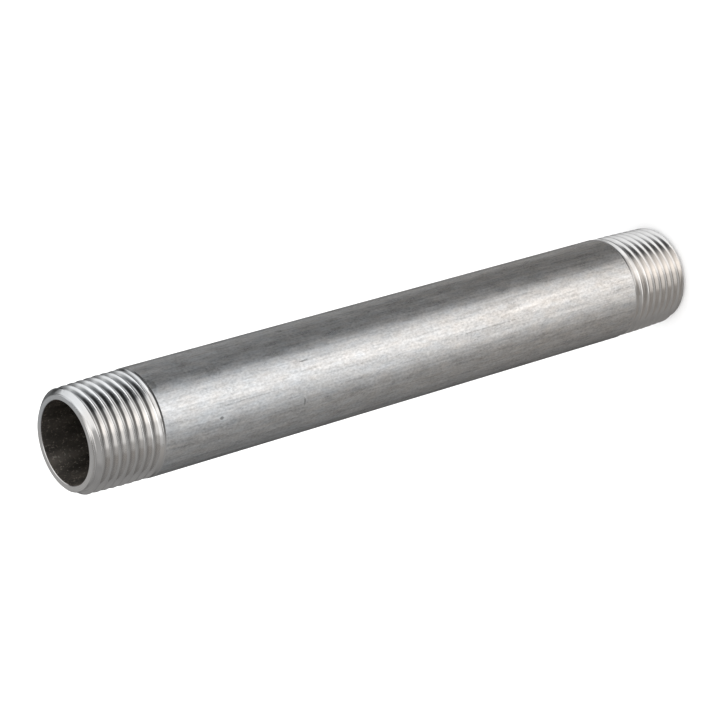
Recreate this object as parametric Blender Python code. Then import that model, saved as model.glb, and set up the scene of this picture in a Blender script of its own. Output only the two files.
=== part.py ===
"""Double nipple: a short length of stainless steel pipe with a tapered pipe thread cut on each end.

It stands on one end, +Z up, with its origin in the middle of the lower end face. Lengths are in metres.
The threads are right-handed at both ends, with the form and taper of an R 1/2 pipe thread.
"""

from math import cos, pi, radians, sin, sqrt, tan

import bmesh
import bpy
from mathutils import Matrix, Vector

MM = 0.001

INCH = 25.4 * MM

# The pipe
LENGTH = 150 * MM
OUTSIDE_DIAMETER = 21.3 * MM
WALL = 2.5 * MM
BORE_DIAMETER = OUTSIDE_DIAMETER - 2 * WALL

# The turned ends
END_CHAMFER = 0.97 * MM
END_CHAMFER_ANGLE = radians(45)
MOUTH_CHAMFER = 0.1 * MM
SHOULDER_HEIGHT = 0.12 * MM
SHOULDER_LENGTH = 0.35 * MM

# The thread, whose crests at the gauge plane lie a little under the pipe's outside
# Its roots are rounded more than its crests.
THREADS_PER_INCH = 14
PITCH = INCH / THREADS_PER_INCH
TAPER = 1 / 16
GAUGE_RELIEF = 0.345 * MM
GAUGE_DIAMETER = OUTSIDE_DIAMETER - GAUGE_RELIEF
GAUGE_LENGTH = 8.2 * MM
FLANK_ANGLE = radians(27.5)
ROOT_ROUNDING = 0.34 * MM
CREST_ROUNDING = 0.15 * MM
THREAD_HEIGHT = PITCH / 2 / tan(FLANK_ANGLE) - (ROOT_ROUNDING + CREST_ROUNDING) * (1 / sin(FLANK_ANGLE) - 1)
THREAD_LENGTH = 15 * MM
RUNOUT_LENGTH = 1.2 * MM
LOWER_THREAD_START = radians(-52)
UPPER_THREAD_START = radians(0)

# The fineness of the mesh
COLUMNS = 48
SNAP = 0.08 * MM


def thread_height(offset):
    """Height of the thread form above its root, at a distance along the pipe from the middle of a groove."""
    root = ROOT_ROUNDING * cos(FLANK_ANGLE)
    crest = CREST_ROUNDING * cos(FLANK_ANGLE)
    if offset < root:
        return ROOT_ROUNDING - sqrt(ROOT_ROUNDING**2 - offset**2)
    if offset < PITCH / 2 - crest:
        return ROOT_ROUNDING * (1 - sin(FLANK_ANGLE)) + (offset - root) / tan(FLANK_ANGLE)
    return THREAD_HEIGHT - CREST_ROUNDING + sqrt(max(0, CREST_ROUNDING**2 - (PITCH / 2 - offset) ** 2))


def crest_radius(depth):
    """Radius of the taper that touches the crests, at a depth in from the end face."""
    return GAUGE_DIAMETER / 2 + (depth - GAUGE_LENGTH) * TAPER / 2


def face_radius():
    """Radius of an end face, inside its chamfer."""
    return crest_radius(0) - END_CHAMFER


def end_radius(depth, turn):
    """Radius of a threaded end at a depth in from its face, and an angle in turns from where its thread starts."""
    phase = (depth / PITCH - turn) % 1
    offset = min(phase, 1 - phase) * PITCH
    runout = max(0, depth - (THREAD_LENGTH - RUNOUT_LENGTH)) / RUNOUT_LENGTH
    groove = crest_radius(depth) - (THREAD_HEIGHT - thread_height(offset)) * (1 - runout)
    chamfer = face_radius() + depth / tan(END_CHAMFER_ANGLE)
    return min(groove, chamfer, OUTSIDE_DIAMETER / 2 - SHOULDER_HEIGHT)


def chamfer_depth():
    """Depth at which the chamfer round the end face meets the crests."""
    return END_CHAMFER / (1 / tan(END_CHAMFER_ANGLE) - TAPER / 2)


def ring(shape, frame, radius, depth):
    """A ring of points round the pipe at one depth of an end."""
    angles = [2 * pi * column / COLUMNS for column in range(COLUMNS)]
    return [shape.verts.new(frame @ Vector((radius * cos(a), radius * sin(a), depth))) for a in angles]


def skin(shape, first, second):
    """Faces between two rings."""
    for column in range(COLUMNS):
        after = (column + 1) % COLUMNS
        shape.faces.new((first[column], first[after], second[after], second[column]))


def threaded_surface(shape, frame, start):
    """The outside of one threaded end. Its rows of points follow the helix, and stop at the rings at its limits.

    Returns the ring at the end face and the one at the shoulder.
    """
    root = ROOT_ROUNDING * cos(FLANK_ANGLE) / PITCH
    crest = CREST_ROUNDING * cos(FLANK_ANGLE) / PITCH
    phases = (0, root, 0.5 - crest, 0.5, 0.5 + crest, 1 - root)
    limits = (0, chamfer_depth(), THREAD_LENGTH)
    corners = {}

    def corner(row, column, lower, upper):
        if column == COLUMNS:
            row, column = row + len(phases), 0
        angle = 2 * pi * column / COLUMNS
        turn = (angle - start) / (2 * pi)
        depth = (row // len(phases) + phases[row % len(phases)] + turn) * PITCH
        key = (row, column)
        for limit, beyond in ((lower, depth < lower + SNAP), (upper, depth > upper - SNAP)):
            if beyond:
                depth, key = limit, ("ring", limit, column)
        if key not in corners:
            radius = end_radius(depth, turn)
            corners[key] = shape.verts.new(frame @ Vector((radius * cos(angle), radius * sin(angle), depth)))
        return corners[key]

    rows = range(-2 * len(phases), int(THREAD_LENGTH / PITCH + 2) * len(phases))
    for lower, upper in zip(limits, limits[1:]):
        for row in rows:
            for column in range(COLUMNS):
                around = [
                    corner(row, column, lower, upper),
                    corner(row, column + 1, lower, upper),
                    corner(row + 1, column + 1, lower, upper),
                    corner(row + 1, column, lower, upper),
                ]
                distinct = list(dict.fromkeys(around))
                if len(distinct) > 2:
                    shape.faces.new(distinct)
    return [[corners["ring", limit, column] for column in range(COLUMNS)] for limit in (limits[0], limits[-1])]


def pipe_end(shape, frame, start):
    """One whole end, from the pipe's outside over the thread and the face into the bore.

    Returns its rings at the outside and in the bore, which the pipe joins.
    """
    face, shoulder = threaded_surface(shape, frame, start)
    outside = ring(shape, frame, OUTSIDE_DIAMETER / 2, THREAD_LENGTH + SHOULDER_LENGTH)
    mouth = ring(shape, frame, BORE_DIAMETER / 2 + MOUTH_CHAMFER, 0)
    bore = ring(shape, frame, BORE_DIAMETER / 2, MOUTH_CHAMFER)
    for first, second in ((outside, shoulder), (face, mouth), (mouth, bore)):
        skin(shape, first, second)
    return outside, bore


def stainless_steel():
    material = bpy.data.materials.new("stainless_steel")
    material.use_nodes = True
    surface = material.node_tree.nodes["Principled BSDF"]
    surface.inputs["Base Color"].default_value = (0.55, 0.54, 0.52, 1)
    surface.inputs["Metallic"].default_value = 1
    surface.inputs["Roughness"].default_value = 0.35
    return material


def double_nipple():
    shape = bmesh.new()
    upright = Matrix.Identity(4)
    turned_over = Matrix.Translation((0, 0, LENGTH)) @ Matrix.Rotation(pi, 4, "X")
    lower = pipe_end(shape, upright, LOWER_THREAD_START)
    upper = pipe_end(shape, turned_over, UPPER_THREAD_START)
    for lower_ring, upper_ring in zip(lower, upper):
        # Turning an end over reverses the order of its columns.
        skin(shape, lower_ring, upper_ring[:1] + upper_ring[:0:-1])
    bmesh.ops.recalc_face_normals(shape, faces=shape.faces)
    mesh = bpy.data.meshes.new("double_nipple")
    shape.to_mesh(mesh)
    shape.free()
    mesh.shade_smooth()
    mesh.set_sharp_from_angle(angle=radians(15))
    mesh.materials.append(stainless_steel())
    nipple = bpy.data.objects.new("double_nipple", mesh)
    bpy.context.scene.collection.objects.link(nipple)


for obj in list(bpy.data.objects):
    bpy.data.objects.remove(obj)
double_nipple()
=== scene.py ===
"""The looks of the double nipple: its fine surface, its finishes, the floor, the light and the camera."""

from math import atan2, cos, hypot, pi, radians, sin, sqrt, tan

import bpy
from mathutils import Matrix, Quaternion, Vector


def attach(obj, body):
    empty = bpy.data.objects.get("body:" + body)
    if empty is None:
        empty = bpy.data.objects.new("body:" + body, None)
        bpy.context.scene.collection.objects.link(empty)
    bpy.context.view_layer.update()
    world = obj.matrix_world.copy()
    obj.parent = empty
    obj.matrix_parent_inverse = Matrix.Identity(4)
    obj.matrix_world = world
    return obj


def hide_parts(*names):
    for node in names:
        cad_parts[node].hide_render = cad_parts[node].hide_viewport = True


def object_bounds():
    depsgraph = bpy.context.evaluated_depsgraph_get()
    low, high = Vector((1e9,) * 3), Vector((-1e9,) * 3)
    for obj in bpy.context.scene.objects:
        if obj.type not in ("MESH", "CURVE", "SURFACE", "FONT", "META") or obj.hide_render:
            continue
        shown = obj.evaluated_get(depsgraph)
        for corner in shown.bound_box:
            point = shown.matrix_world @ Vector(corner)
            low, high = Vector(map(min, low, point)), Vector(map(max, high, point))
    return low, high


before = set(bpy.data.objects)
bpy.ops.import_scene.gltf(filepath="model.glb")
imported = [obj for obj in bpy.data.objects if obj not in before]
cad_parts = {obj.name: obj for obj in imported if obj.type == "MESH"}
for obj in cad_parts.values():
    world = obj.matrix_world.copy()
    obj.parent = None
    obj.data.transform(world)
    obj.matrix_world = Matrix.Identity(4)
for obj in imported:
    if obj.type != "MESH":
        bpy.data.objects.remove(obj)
cad_low, cad_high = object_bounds()

MM = 0.001

# The pipe, whose length and outside come from the frame
LENGTH = cad_high.z
OUTSIDE_RADIUS = (cad_high.x - cad_low.x) / 2
BORE_RADIUS = 8.15 * MM

# The turned ends
FACE_RADIUS = 9.25 * MM
FACE_CHAMFER_ANGLE = radians(45)
MOUTH_CHAMFER = 0.1 * MM
SHOULDER_HEIGHT = 0.12 * MM
SHOULDER_LENGTH = 0.35 * MM

# The thread
PITCH = 25.4 * MM / 14
TAPER = 1 / 16
GAUGE_DIAMETER = 20.955 * MM
GAUGE_LENGTH = 8.2 * MM
FLANK_ANGLE = radians(27.5)
ROOT_ROUNDING = 0.34 * MM
CREST_ROUNDING = 0.15 * MM
THREAD_HEIGHT = PITCH / 2 / tan(FLANK_ANGLE) - (ROOT_ROUNDING + CREST_ROUNDING) * (1 / sin(FLANK_ANGLE) - 1)
THREAD_LENGTH = 15 * MM
RUNOUT_LENGTH = 1.2 * MM
LOWER_THREAD_START = radians(-52)
UPPER_THREAD_START = radians(0)

# The fineness of the mesh
COLUMNS = 192
ARC_ROWS = 4
FLANK_EDGE = 0.03 * MM
SNAP = 0.02 * MM
SPARE_TURNS = 2
MERGE = 0.001 * MM
SMOOTH_ANGLE = radians(17)

# The finishes: the brightness, roughness and warmth of the bare steel
TURNED_TONE, TURNED_ROUGHNESS = 0.77, 0.08
PICKLED_TONE, PICKLED_ROUGHNESS, PICKLED_WARMTH = 0.625, 0.3, 0.034
BORE_TONE, BORE_ROUGHNESS, BORE_WARMTH = 0.3, 0.5, 0.09

# How much painted shade darkens the grooves at the upper end and at the lower one
UPPER_GROOVE_SHADE = 0.6
LOWER_GROOVE_SHADE = 0.1

# The way that the side of the threads with the most painted shade faces, along x and y
SHADED_SIDE = (0.87, -0.5)

# Small marks on the pipe: height and angle of the middle, half length along, half width across, darkness.
# The angle is from the camera's side, in degrees, and the lengths are in millimetres. A negative darkness
# lightens, and the one such row is a painted highlight.
MARKS = (
    (134, 34, 1, 1.5, 0.3),
    (122, -20, 0.6, 0.4, 0.5),
    (120.5, 30, 2, 1.3, 0.2),
    (113.5, -8, 8.5, 0.14, 0.25),
    (102.5, -28, 0.25, 1.1, 0.45),
    (101, 14, 1.1, 0.2, 0.5),
    (101, 61, 0.9, 0.7, 0.35),
    (55, -6, 10, 0.14, 0.25),
    (48, 8, 2, 1, 0.15),
    # Painted highlight: this row lightens a streak where the barrel's reflection is brightest.
    (46, 4, 6, 0.4, -0.15),
    (19, -6, 3, 0.14, 0.25),
)

# The camera
CAMERA_PLACE = Vector((0, -454.99, 407.06)) * MM
CAMERA_AIM = Vector((-0.311, 0, 80.66)) * MM
CAMERA_ROLL = radians(-106.038)
CAMERA_LENS = 141.47
SENSOR_WIDTH = 36

# The floor, and the light on it
FLOOR_SIZE = 8
FLOOR_TONE = 0.9
FLOOR_LIGHT = 1.6

# The dome that the pipe mirrors
DOME_RADIUS = 12
DOME_STEPS = 240
DOME_ROWS = 120


def alone(obj):
    """Selects one object and nothing else."""
    bpy.ops.object.select_all(action="DESELECT")
    obj.select_set(True)
    bpy.context.view_layer.objects.active = obj


def thread_height(offset):
    """Height of the thread form above its root, at a distance along the pipe from the middle of a groove."""
    root, crest = (rounding * cos(FLANK_ANGLE) for rounding in (ROOT_ROUNDING, CREST_ROUNDING))
    if offset < root:
        return ROOT_ROUNDING - sqrt(ROOT_ROUNDING**2 - offset**2)
    if offset < PITCH / 2 - crest:
        return ROOT_ROUNDING * (1 - sin(FLANK_ANGLE)) + (offset - root) / tan(FLANK_ANGLE)
    return THREAD_HEIGHT - CREST_ROUNDING + sqrt(max(0, CREST_ROUNDING**2 - (PITCH / 2 - offset) ** 2))


def crest_radius(depth):
    """Radius of the taper that touches the crests, at a depth in from the end face."""
    return GAUGE_DIAMETER / 2 + (depth - GAUGE_LENGTH) * TAPER / 2


def end_radius(depth, turn):
    """Radius of a threaded end at a depth in from its face, and at an angle.

    The angle is in turns from where its thread starts.
    """
    phase = (depth / PITCH - turn) % 1
    offset = min(phase, 1 - phase) * PITCH
    runout = max(0, depth - (THREAD_LENGTH - RUNOUT_LENGTH)) / RUNOUT_LENGTH
    groove = crest_radius(depth) - (THREAD_HEIGHT - thread_height(offset)) * (1 - runout)
    chamfer = FACE_RADIUS + depth / tan(FACE_CHAMFER_ANGLE)
    return min(groove, chamfer, OUTSIDE_RADIUS - SHOULDER_HEIGHT)


def chamfer_depth():
    """Depth at which the chamfer round the end face meets the crests."""
    return (crest_radius(0) - FACE_RADIUS) / (1 / tan(FACE_CHAMFER_ANGLE) - TAPER / 2)


def row_phases():
    """Where the rows of points lie in a pitch, from the middle of a groove.

    They are close together on its rounded root and crest. One at each edge of a flank keeps its shading flat.
    """
    arc = [sin(row / ARC_ROWS * (pi / 2 - FLANK_ANGLE)) / PITCH for row in range(ARC_ROWS + 1)]
    root = [ROOT_ROUNDING * phase for phase in arc]
    crest = [0.5 - CREST_ROUNDING * phase for phase in reversed(arc)]
    half = root + [root[-1] + FLANK_EDGE / PITCH, crest[0] - FLANK_EDGE / PITCH] + crest
    return half + [1 - phase for phase in reversed(half[1:-1])]


def threaded_sleeve(name, start):
    """The outside of one threaded end, standing on its face.

    A line is swept up the helix and trimmed, and its points are then drawn in to the thread.
    """
    rows = row_phases()
    bpy.ops.object.select_all(action="DESELECT")
    bpy.ops.mesh.primitive_plane_add(size=PITCH)
    sleeve = bpy.context.object
    sleeve.name = name
    bpy.ops.object.mode_set(mode="EDIT")
    bpy.ops.mesh.select_mode(type="VERT")
    bpy.ops.mesh.merge(type="CENTER")
    below = -(SPARE_TURNS + start / (2 * pi)) * PITCH
    bpy.ops.transform.translate(value=(OUTSIDE_RADIUS, 0, below))
    bpy.ops.mesh.extrude_region_move(TRANSFORM_OT_translate={"value": (0, 0, PITCH)})
    bpy.ops.mesh.select_all(action="SELECT")
    bpy.ops.mesh.subdivide(number_cuts=len(rows) - 1)
    bpy.ops.object.mode_set(mode="OBJECT")
    screw = sleeve.modifiers.new("helix", "SCREW")
    screw.steps = screw.render_steps = COLUMNS
    screw.screw_offset = PITCH
    screw.iterations = int(THREAD_LENGTH / PITCH) + 2 * SPARE_TURNS
    bpy.ops.object.modifier_apply(modifier=screw.name)
    bpy.ops.object.mode_set(mode="EDIT")
    bpy.ops.mesh.select_all(action="SELECT")
    bpy.ops.mesh.remove_doubles(threshold=MERGE)
    bpy.ops.object.mode_set(mode="OBJECT")
    for vertex in sleeve.data.vertices:
        turn = (atan2(vertex.co.y, vertex.co.x) - start) / (2 * pi)
        pitches, row = divmod(round((vertex.co.z / PITCH - turn) * len(rows)), len(rows))
        vertex.co.z = (pitches + rows[row] + turn) * PITCH
    bpy.ops.object.mode_set(mode="EDIT")
    trims = ((0, "clear_inner"), (THREAD_LENGTH, "clear_outer"), (chamfer_depth(), None))
    for depth, cleared in trims:
        bpy.ops.mesh.select_all(action="SELECT")
        trim = {cleared: True} if cleared else {}
        bpy.ops.mesh.bisect(plane_co=(0, 0, depth), plane_no=(0, 0, 1), threshold=SNAP, **trim)
    bpy.ops.object.mode_set(mode="OBJECT")
    # A point that bisect found near enough to a limit stayed where it was, so it goes onto the limit here.
    near = 1.01 * SNAP
    for vertex in sleeve.data.vertices:
        depth = vertex.co.z
        for limit, _ in trims:
            if abs(depth - limit) <= near:
                depth = limit
        angle = atan2(vertex.co.y, vertex.co.x)
        radius = end_radius(depth, (angle - start) / (2 * pi))
        vertex.co = radius * cos(angle), radius * sin(angle), depth
    return sleeve


def extruded(shape, depth, rings):
    """Extrudes the open ring of edges at a depth through rings, each given as a radius and a height."""
    bpy.ops.object.mode_set(mode="EDIT")
    bpy.ops.mesh.select_mode(type="EDGE")
    bpy.ops.mesh.select_all(action="DESELECT")
    bpy.ops.mesh.select_non_manifold()
    bpy.ops.object.mode_set(mode="OBJECT")
    for edge in shape.data.edges:
        if edge.select:
            heights = [shape.data.vertices[index].co.z for index in edge.vertices]
            edge.select = all(abs(height - depth) < SNAP for height in heights)
    for radius, height in rings:
        bpy.ops.object.mode_set(mode="EDIT")
        bpy.ops.mesh.extrude_edges_move()
        bpy.ops.object.mode_set(mode="OBJECT")
        for vertex in shape.data.vertices:
            if vertex.select:
                angle = atan2(vertex.co.y, vertex.co.x)
                vertex.co = radius * cos(angle), radius * sin(angle), height


def half_pipe(name, start):
    """Half of the nipple, standing on its end: a threaded sleeve carried on to the middle, outside and in."""
    half = threaded_sleeve(name, start)
    outside = [(OUTSIDE_RADIUS, THREAD_LENGTH + SHOULDER_LENGTH), (OUTSIDE_RADIUS, LENGTH / 2)]
    inside = [(BORE_RADIUS + MOUTH_CHAMFER, 0), (BORE_RADIUS, MOUTH_CHAMFER), (BORE_RADIUS, LENGTH / 2)]
    extruded(half, THREAD_LENGTH, outside)
    extruded(half, 0, inside)
    return half


def nipple():
    """The whole nipple: two halves that meet in the middle, the upper one turned over."""
    lower = half_pipe("nipple", LOWER_THREAD_START)
    upper = half_pipe("upper", UPPER_THREAD_START)
    alone(upper)
    bpy.ops.transform.rotate(value=pi, orient_axis="X", center_override=(0, 0, 0))
    bpy.ops.transform.translate(value=(0, 0, LENGTH))
    bpy.ops.object.transform_apply(location=True, rotation=True, scale=True)
    lower.select_set(True)
    bpy.context.view_layer.objects.active = lower
    bpy.ops.object.join()
    lower.data.name = "nipple"
    bpy.ops.object.mode_set(mode="EDIT")
    bpy.ops.mesh.select_all(action="SELECT")
    bpy.ops.mesh.remove_doubles(threshold=MERGE)
    bpy.ops.mesh.normals_make_consistent(inside=False)
    bpy.ops.object.mode_set(mode="OBJECT")
    bpy.ops.object.shade_smooth_by_angle(angle=SMOOTH_ANGLE)
    return lower


class Wire:
    """A material's socket. Arithmetic on it adds Math nodes, and node() adds any other node."""

    def __init__(self, socket):
        self.socket = socket

    def node(self, kind, settings=None, inputs=None, out=0):
        tree = self.socket.id_data
        made = tree.nodes.new(kind)
        for name, value in (settings or {}).items():
            setattr(made, name, value)
        for name, value in (inputs or {}).items():
            if isinstance(value, Wire):
                tree.links.new(value.socket, made.inputs[name])
            else:
                made.inputs[name].default_value = value
        return Wire(made.outputs[out])

    def maths(self, operation, first, second=0.0):
        return self.node("ShaderNodeMath", {"operation": operation}, {0: first, 1: second})

    def __add__(self, other):
        return self.maths("ADD", self, other)

    def __sub__(self, other):
        return self.maths("SUBTRACT", self, other)

    def __rsub__(self, other):
        return self.maths("SUBTRACT", other, self)

    def __mul__(self, other):
        return self.maths("MULTIPLY", self, other)

    def __truediv__(self, other):
        return self.maths("DIVIDE", self, other)

    __radd__ = __add__
    __rmul__ = __mul__

    def clamped(self):
        return self.node("ShaderNodeClamp", {}, {"Value": self})

    def faded(self, start, end):
        """Rises smoothly from nought at a start to one at an end."""
        limits = {"Value": self, "From Min": start, "From Max": end}
        return self.node("ShaderNodeMapRange", {"interpolation_type": "SMOOTHSTEP"}, limits)

    def noise(self, across, along, detail=2):
        """Noise about zero whose grain has a width across the pipe's axis and a length along it."""
        scale = (1 / across, 1 / across, 1 / along)
        stretched = self.node("ShaderNodeVectorMath", {"operation": "MULTIPLY"}, {0: self, 1: scale})
        grain = self.node("ShaderNodeTexNoise", {}, {"Vector": stretched, "Scale": 1, "Detail": detail})
        return grain - 0.5


class Steel:
    """A steel material, with wires to where a point lies on the pipe.

    Its depth is from the nearer end face, and its angle is from the camera's right. Upper, right and back
    tell how far it lies that way. The camera is rolled, so the right side is the upper one in the picture.
    """

    def __init__(self, name, roughness, spread=0.0):
        self.material = bpy.data.materials.new(name)
        self.material.use_nodes = True
        tree = self.material.node_tree
        self.surface = tree.nodes["Principled BSDF"]
        self.surface.inputs["Metallic"].default_value = 1
        self.surface.inputs["Roughness"].default_value = roughness
        self.surface.inputs["Anisotropic"].default_value = spread
        self.surface.inputs["Anisotropic Rotation"].default_value = 0.25
        self.point = Wire(tree.nodes.new("ShaderNodeTexCoord").outputs["Object"])
        inputs = {"Vector": self.point}
        x, y, self.height = (self.point.node("ShaderNodeSeparateXYZ", {}, inputs, out) for out in range(3))
        square = x * x + y * y
        self.radius = square.maths("SQRT", square)
        self.upper = self.height.faded(LENGTH * 0.15, LENGTH * 0.85)
        self.depth = self.height.maths("MINIMUM", self.height, LENGTH - self.height)
        self.angle = y.maths("ARCTAN2", y, x)
        self.right = x / self.radius
        self.back = y / self.radius

    def wire(self, name, value):
        self.material.node_tree.links.new(value.socket, self.surface.inputs[name])

    def color(self, tone, warmth):
        """Links a base color of a brightness, warm where its warmth is above nought and cool where below."""
        shades = {0: tone * (1 + warmth), 1: tone, 2: tone * (1 - warmth)}
        self.wire("Base Color", self.point.node("ShaderNodeCombineColor", {}, shades))

    def bump(self, height, distance):
        inputs = {"Height": height, "Distance": distance, "Strength": 1}
        self.wire("Normal", self.point.node("ShaderNodeBump", {}, inputs))


def turned_steel():
    """Bright machined steel of the threads and faces, with fine marks round it and rings on the faces.

    Painted shade darkens the grooves and the corner at the shoulder, most on one side and at the upper end.
    A painted highlight lightens the crests of the upper end on its right.
    """
    steel = Steel("turned_steel", TURNED_ROUGHNESS, 0.7)
    marks = steel.point.noise(6 * MM, 0.07 * MM)
    blotches = steel.point.noise(2 * MM, 2 * MM, 3)
    rings = steel.radius.noise(0.05 * MM, 0.05 * MM) * (1 - steel.depth.faded(0, 0.05 * MM))
    threaded = ((steel.depth - chamfer_depth()) / (0.3 * MM)).clamped()
    sunk = ((crest_radius(steel.depth) - steel.radius) / THREAD_HEIGHT) * threaded
    # Painted shade: the grooves and the corner at the shoulder are darkened, most on one side and at the
    # upper end.
    toward = steel.right * SHADED_SIDE[0] + steel.back * SHADED_SIDE[1]
    side_shade = (toward.faded(0, 0.6) * 0.8 + 0.2) * (1 - steel.right.faded(0.82, 1) * 0.6)
    edge = toward.maths("MINIMUM", 0.75 - toward * 0.47, 0.52)
    band = sunk.faded(edge, edge + 0.2) - sunk.faded(edge + 0.35, edge + 0.55) * 0.5
    groove = band * (LOWER_GROOVE_SHADE + (UPPER_GROOVE_SHADE - LOWER_GROOVE_SHADE) * steel.upper)
    shoulder = steel.depth.faded(THREAD_LENGTH - 0.1 * MM, THREAD_LENGTH + 0.05 * MM)
    painted_shade = side_shade * (groove + shoulder * (0.3 + 0.62 * steel.upper)).clamped()
    # Painted highlight: the crests of the upper end are lighter on the right.
    crest_highlight = (1 - sunk.faded(0.05, 0.35)) * threaded * steel.right.faded(0.15, 0.5) * steel.upper
    tone = (1 + marks * 0.12 + blotches * 0.14 + rings * 0.8 + crest_highlight * 0.22) * (1 - painted_shade)
    cool = steel.right.faded(0.3, 0.7)
    warmth = (1 - cool) * (0.04 - 0.02 * steel.upper) - cool * steel.upper * 0.02
    steel.color(tone * TURNED_TONE, warmth)
    steel.wire("Roughness", TURNED_ROUGHNESS + marks * 0.05 + blotches * 0.04)
    steel.bump(marks, 0.002 * MM)
    return steel.material


def marked(steel, grain):
    """How much the small marks on the pipe darken it, with a grain that makes their edges uneven. The mark
    with a negative darkness is a painted highlight and lightens it.
    """
    total = 0
    for height, turned, along, across, darkness in MARKS:
        rise = (steel.height - height * MM) / (along * MM)
        side = (steel.angle - radians(turned - 90)) * (OUTSIDE_RADIUS / (across * MM))
        total = total + (1 - (rise * rise + side * side + grain).faded(0.2, 1)) * darkness
    return total


def pickled_pipe():
    """The pipe's dull drawn skin, with a fine grain, streaks along it, a faint tarnish and small marks, one
    of which is a painted highlight.
    """
    steel = Steel("pickled_pipe", PICKLED_ROUGHNESS)
    grain = steel.point.noise(0.35 * MM, 0.6 * MM)
    mottle = steel.point.noise(1.4 * MM, 4 * MM)
    streaks = steel.point.noise(0.5 * MM, 14 * MM)
    tarnish = steel.point.noise(1 * MM, 3 * MM)
    tone = (1 + grain * 0.8 + mottle * 0.5 + streaks * 0.6) * (1 - marked(steel, grain * 2))
    steel.color(tone * PICKLED_TONE, PICKLED_WARMTH - 0.04 * steel.upper + tarnish * 0.1)
    steel.wire("Roughness", PICKLED_ROUGHNESS + mottle * 0.15)
    steel.bump(grain + streaks, 0.005 * MM)
    return steel.material


def bore_wall():
    """The bore, dark and scaled, with brown specks, and darker toward its right with painted shade."""
    steel = Steel("bore_wall", BORE_ROUGHNESS)
    specks = (steel.point.noise(0.35 * MM, 0.5 * MM, 3) * 6 - 0.4).clamped()
    patches = steel.point.noise(3 * MM, 8 * MM)
    # Painted shade: the tone falls toward the bore's right side.
    steel.color((1 + specks * 2 + patches * 2.5) * (BORE_TONE - steel.right * 0.08), BORE_WARMTH)
    return steel.material


def dress(shape):
    """Gives the nipple its three finishes. What isn't the pipe's outside or its bore is turned steel."""
    for material in (turned_steel(), pickled_pipe(), bore_wall()):
        shape.data.materials.append(material)
    pickled, bore = 1, 2
    for face in shape.data.polygons:
        depth = min(face.center.z, LENGTH - face.center.z)
        radius = hypot(face.center.x, face.center.y)
        if radius < BORE_RADIUS + SNAP / 2 and depth > MOUTH_CHAMFER:
            face.material_index = bore
        elif radius > OUTSIDE_RADIUS - SNAP / 2 and depth > THREAD_LENGTH + SHOULDER_LENGTH:
            face.material_index = pickled


piece = nipple()
dress(piece)
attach(piece, "root")
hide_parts("double_nipple")


def floor():
    """The pale floor. The pipe doesn't mirror it, because the dome's lower half shows it a ground."""
    bpy.ops.object.select_all(action="DESELECT")
    bpy.ops.mesh.primitive_plane_add(size=FLOOR_SIZE)
    ground = bpy.context.object
    ground.name = "floor"
    material = bpy.data.materials.new("floor")
    material.use_nodes = True
    surface = material.node_tree.nodes["Principled BSDF"]
    surface.inputs["Base Color"].default_value = (FLOOR_TONE, FLOOR_TONE, FLOOR_TONE, 1)
    surface.inputs["Roughness"].default_value = 0.9
    ground.data.materials.append(material)
    ground.visible_glossy = False


# The studio as the pipe mirrors it, in rings from below to above, fitted to the photo.
# A row gives an azimuth from the camera's side in degrees, a brightness and, where it has any, a warmth.
UNDERSIDE = (
    (-180, 0.18),
    (-100, 0.3),
    (-64, 0.42),
    (-44, 0.6),
    (-32, 0.85),
    (-8, 0.88),
    (16, 0.95),
    (32, 0.82),
    (44, 0.58),
    (56, 0.36),
    (72, 0.2),
    (88, 0.08),
    (104, 0.2),
    (120, 0.26),
    (180, 0.18),
)
GROUND = (
    (-180, 0.08),
    (-152, 0.1),
    (-132, 0.2),
    (-100, 0.28, 0.02),
    (-76, 0.34, 0.03),
    (-64, 0.36, 0.02),
    (-58, 0.5),
    (-44, 0.58),
    (-36, 1, -0.01),
    (-12, 1.15),
    (-5, 1.5, 0.01),
    (8, 1.62, 0.02),
    (18, 1.45, 0.01),
    (28, 1.12),
    (44, 0.86, -0.02),
    (56, 0.25, -0.03),
    (88, 0.18, -0.01),
    (122, 0.18),
    (132, 0.3),
    (142, 0.42),
    (152, 0.15),
    (180, 0.08),
)
SKIRT = (
    (-180, 0.12),
    (-140, 0.2),
    (-100, 0.32),
    (-60, 0.34),
    (-24, 0.28),
    (-14, 0.4),
    (0, 0.68),
    (10, 1),
    (26, 1.02),
    (40, 0.7),
    (50, 0.28),
    (58, 0.1),
    (74, 0.15),
    (88, 0.35),
    (98, 0.95),
    (110, 0.85),
    (119, 0.55),
    (128, 0.3),
    (140, 0.25),
    (180, 0.12),
)
HORIZON = (
    (-180, 0.15),
    (-120, 0.25),
    (-60, 0.42),
    (-28, 0.35),
    (-16, 0.4),
    (-8, 0.68),
    (2, 1.2),
    (14, 1.35),
    (28, 0.98),
    (40, 0.72),
    (52, 0.9),
    (64, 1.18),
    (76, 1.04),
    (90, 0.75),
    (112, 0.82),
    (126, 0.76),
    (136, 0.55),
    (146, 0.18),
    (180, 0.12),
)
HAZE = (
    (-180, 0.3),
    (-120, 0.22),
    (-64, 0.32),
    (-24, 0.34),
    (-8, 0.6),
    (2, 1.05),
    (14, 1.25),
    (32, 0.92),
    (48, 0.85),
    (60, 1.05),
    (72, 1.1),
    (90, 0.8),
    (112, 0.66),
    (120, 0.45),
    (126, 0.25),
    (132, 0.08),
    (148, 0.06),
    (164, 0.2),
    (180, 0.3),
)
SKY_FRONT = (
    (-180, 0.4),
    (-160, 0.3),
    (-120, 0.22),
    (-64, 0.3),
    (-40, 0.3),
    (-24, 0.34),
    (-10, 0.55),
    (2, 1.05),
    (14, 1.25),
    (28, 1.05),
    (44, 0.95),
    (60, 1.02),
    (72, 1),
    (84, 0.96),
    (104, 0.9),
)
LOW_SKY = SKY_FRONT + ((120, 0.72), (130, 0.5), (143, 0.3), (152, 0.22), (162, 0.22), (180, 0.4))
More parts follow.
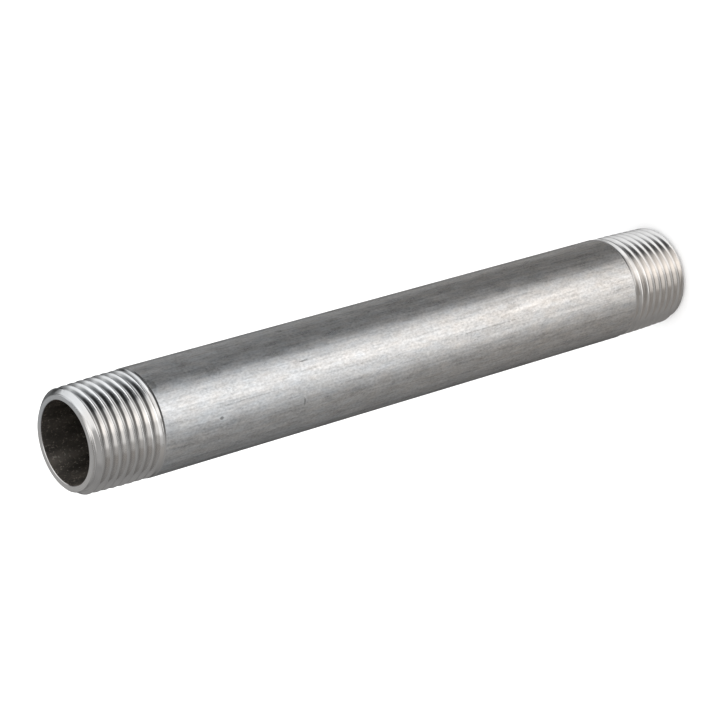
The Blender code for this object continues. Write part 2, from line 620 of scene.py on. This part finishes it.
OPEN_SKY = SKY_FRONT + ((120, 0.82), (143, 0.9), (150, 0.4), (162, 0.25), (180, 0.4))
MID_SKY = (
    (-180, 0.3),
    (-100, 0.28),
    (-44, 0.32),
    (-30, 0.23),
    (-14, 0.25),
    (0, 0.7),
    (12, 1.05),
    (24, 1),
    (40, 0.82),
    (52, 0.76),
    (62, 1.06),
    (76, 1.25),
    (90, 1.25),
    (104, 1),
    (130, 1.05),
    (146, 0.75),
    (160, 0.35),
    (180, 0.3),
)
HIGH_SKY = (
    (-180, 0.5),
    (-120, 0.4),
    (-64, 0.38),
    (-50, 0.58),
    (-24, 0.7),
    (-8, 1.05),
    (16, 1.2),
    (32, 1.02),
    (44, 1.1),
    (60, 1.15),
    (100, 1.1),
    (140, 1.05),
    (160, 0.7),
    (180, 0.5),
)
# The elevation of each ring in degrees. A ring that stands here twice is even from one to the other.
STUDIO = (
    (-48, UNDERSIDE),
    (-41, GROUND),
    (-28, GROUND),
    (-22, SKIRT),
    (-14, SKIRT),
    (-6, HORIZON),
    (4, HORIZON),
    (9, HAZE),
    (17, HAZE),
    (23, LOW_SKY),
    (35, OPEN_SKY),
    (47, MID_SKY),
    (54, MID_SKY),
    (63, HIGH_SKY),
)


def smooth(part):
    """A share of the way from one ring to the next, held between nought and one and eased at both."""
    part = min(1, max(0, part))
    return part * part * (3 - 2 * part)


def glow_at(ring, azimuth):
    """Brightness and warmth of a ring at an azimuth, between the rows to each side of it."""
    for (low, first, *warm), (high, second, *warmer) in zip(ring, ring[1:]):
        if azimuth <= high:
            part = (azimuth - low) / (high - low)
            return first + (second - first) * part, sum(warm) + (sum(warmer) - sum(warm)) * part


def studio_glow(azimuth, elevation):
    """Colour that the studio shows the pipe in one direction, in degrees."""
    level, warm = glow_at(STUDIO[0][1], azimuth)
    for (low, _), (high, ring) in zip(STUDIO, STUDIO[1:]):
        part = smooth((elevation - low) / (high - low))
        upper = glow_at(ring, azimuth)
        level += (upper[0] - level) * part
        warm += (upper[1] - warm) * part
    return level * (1 + warm), level, level * (1 - warm), 1


def studio_dome():
    """A ball round the pipe that only reflections see."""
    turns = [-180 + 360 * step / DOME_STEPS for step in range(DOME_STEPS + 1)]
    rises = [-90 + 180 * row / DOME_ROWS for row in range(DOME_ROWS + 1)]
    vertices, colors = [], []
    for turn in turns:
        for rise in rises:
            side, up = radians(turn - 90), radians(rise)
            vertices.append(Vector((cos(side) * cos(up), sin(side) * cos(up), sin(up))) * DOME_RADIUS)
            colors.extend(studio_glow(turn, rise))
    corners = [step * len(rises) + row for step in range(DOME_STEPS) for row in range(DOME_ROWS)]
    faces = [(corner, corner + len(rises), corner + len(rises) + 1, corner + 1) for corner in corners]
    mesh = bpy.data.meshes.new("studio_dome")
    mesh.from_pydata(vertices, [], faces)
    mesh.color_attributes.new("glow", "FLOAT_COLOR", "POINT").data.foreach_set("color", colors)
    dome = bpy.data.objects.new("studio_dome", mesh)
    bpy.context.scene.collection.objects.link(dome)
    material = bpy.data.materials.new("studio_dome")
    material.use_nodes = True
    material.cycles.emission_sampling = "NONE"
    tree = material.node_tree
    output = tree.nodes["Material Output"]
    tree.nodes.remove(tree.nodes["Principled BSDF"])
    color = Wire(tree.nodes.new("ShaderNodeVertexColor").outputs["Color"])
    color.socket.node.layer_name = "glow"
    shine = color.node("ShaderNodeEmission", {}, {"Color": color, "Strength": 1})
    tree.links.new(shine.socket, output.inputs["Surface"])
    mesh.materials.append(material)
    for hidden in ("visible_camera", "visible_diffuse", "visible_transmission", "visible_shadow"):
        setattr(dome, hidden, False)


def daylight():
    """Even white light from all round, which lights the floor."""
    world = bpy.data.worlds.new("studio")
    bpy.context.scene.world = world
    world.use_nodes = True
    background = world.node_tree.nodes["Background"]
    background.inputs["Color"].default_value = (1, 1, 1, 1)
    background.inputs["Strength"].default_value = FLOOR_LIGHT


def camera():
    """The camera, rolled so that the standing pipe lies aslant in its picture as in the photo."""
    data = bpy.data.cameras.new("camera")
    data.lens = CAMERA_LENS
    data.sensor_width = SENSOR_WIDTH
    data.clip_start, data.clip_end = 0.01, 20
    obj = bpy.data.objects.new("camera", data)
    bpy.context.scene.collection.objects.link(obj)
    obj.location = CAMERA_PLACE
    obj.rotation_mode = "QUATERNION"
    aim = (CAMERA_AIM - CAMERA_PLACE).to_track_quat("-Z", "Y")
    obj.rotation_quaternion = aim @ Quaternion((0, 0, 1), CAMERA_ROLL)
    bpy.context.scene.camera = obj


floor()
studio_dome()
daylight()
camera()
bpy.context.scene.view_settings.view_transform = "Standard"
bpy.context.scene.cycles.use_denoising = True
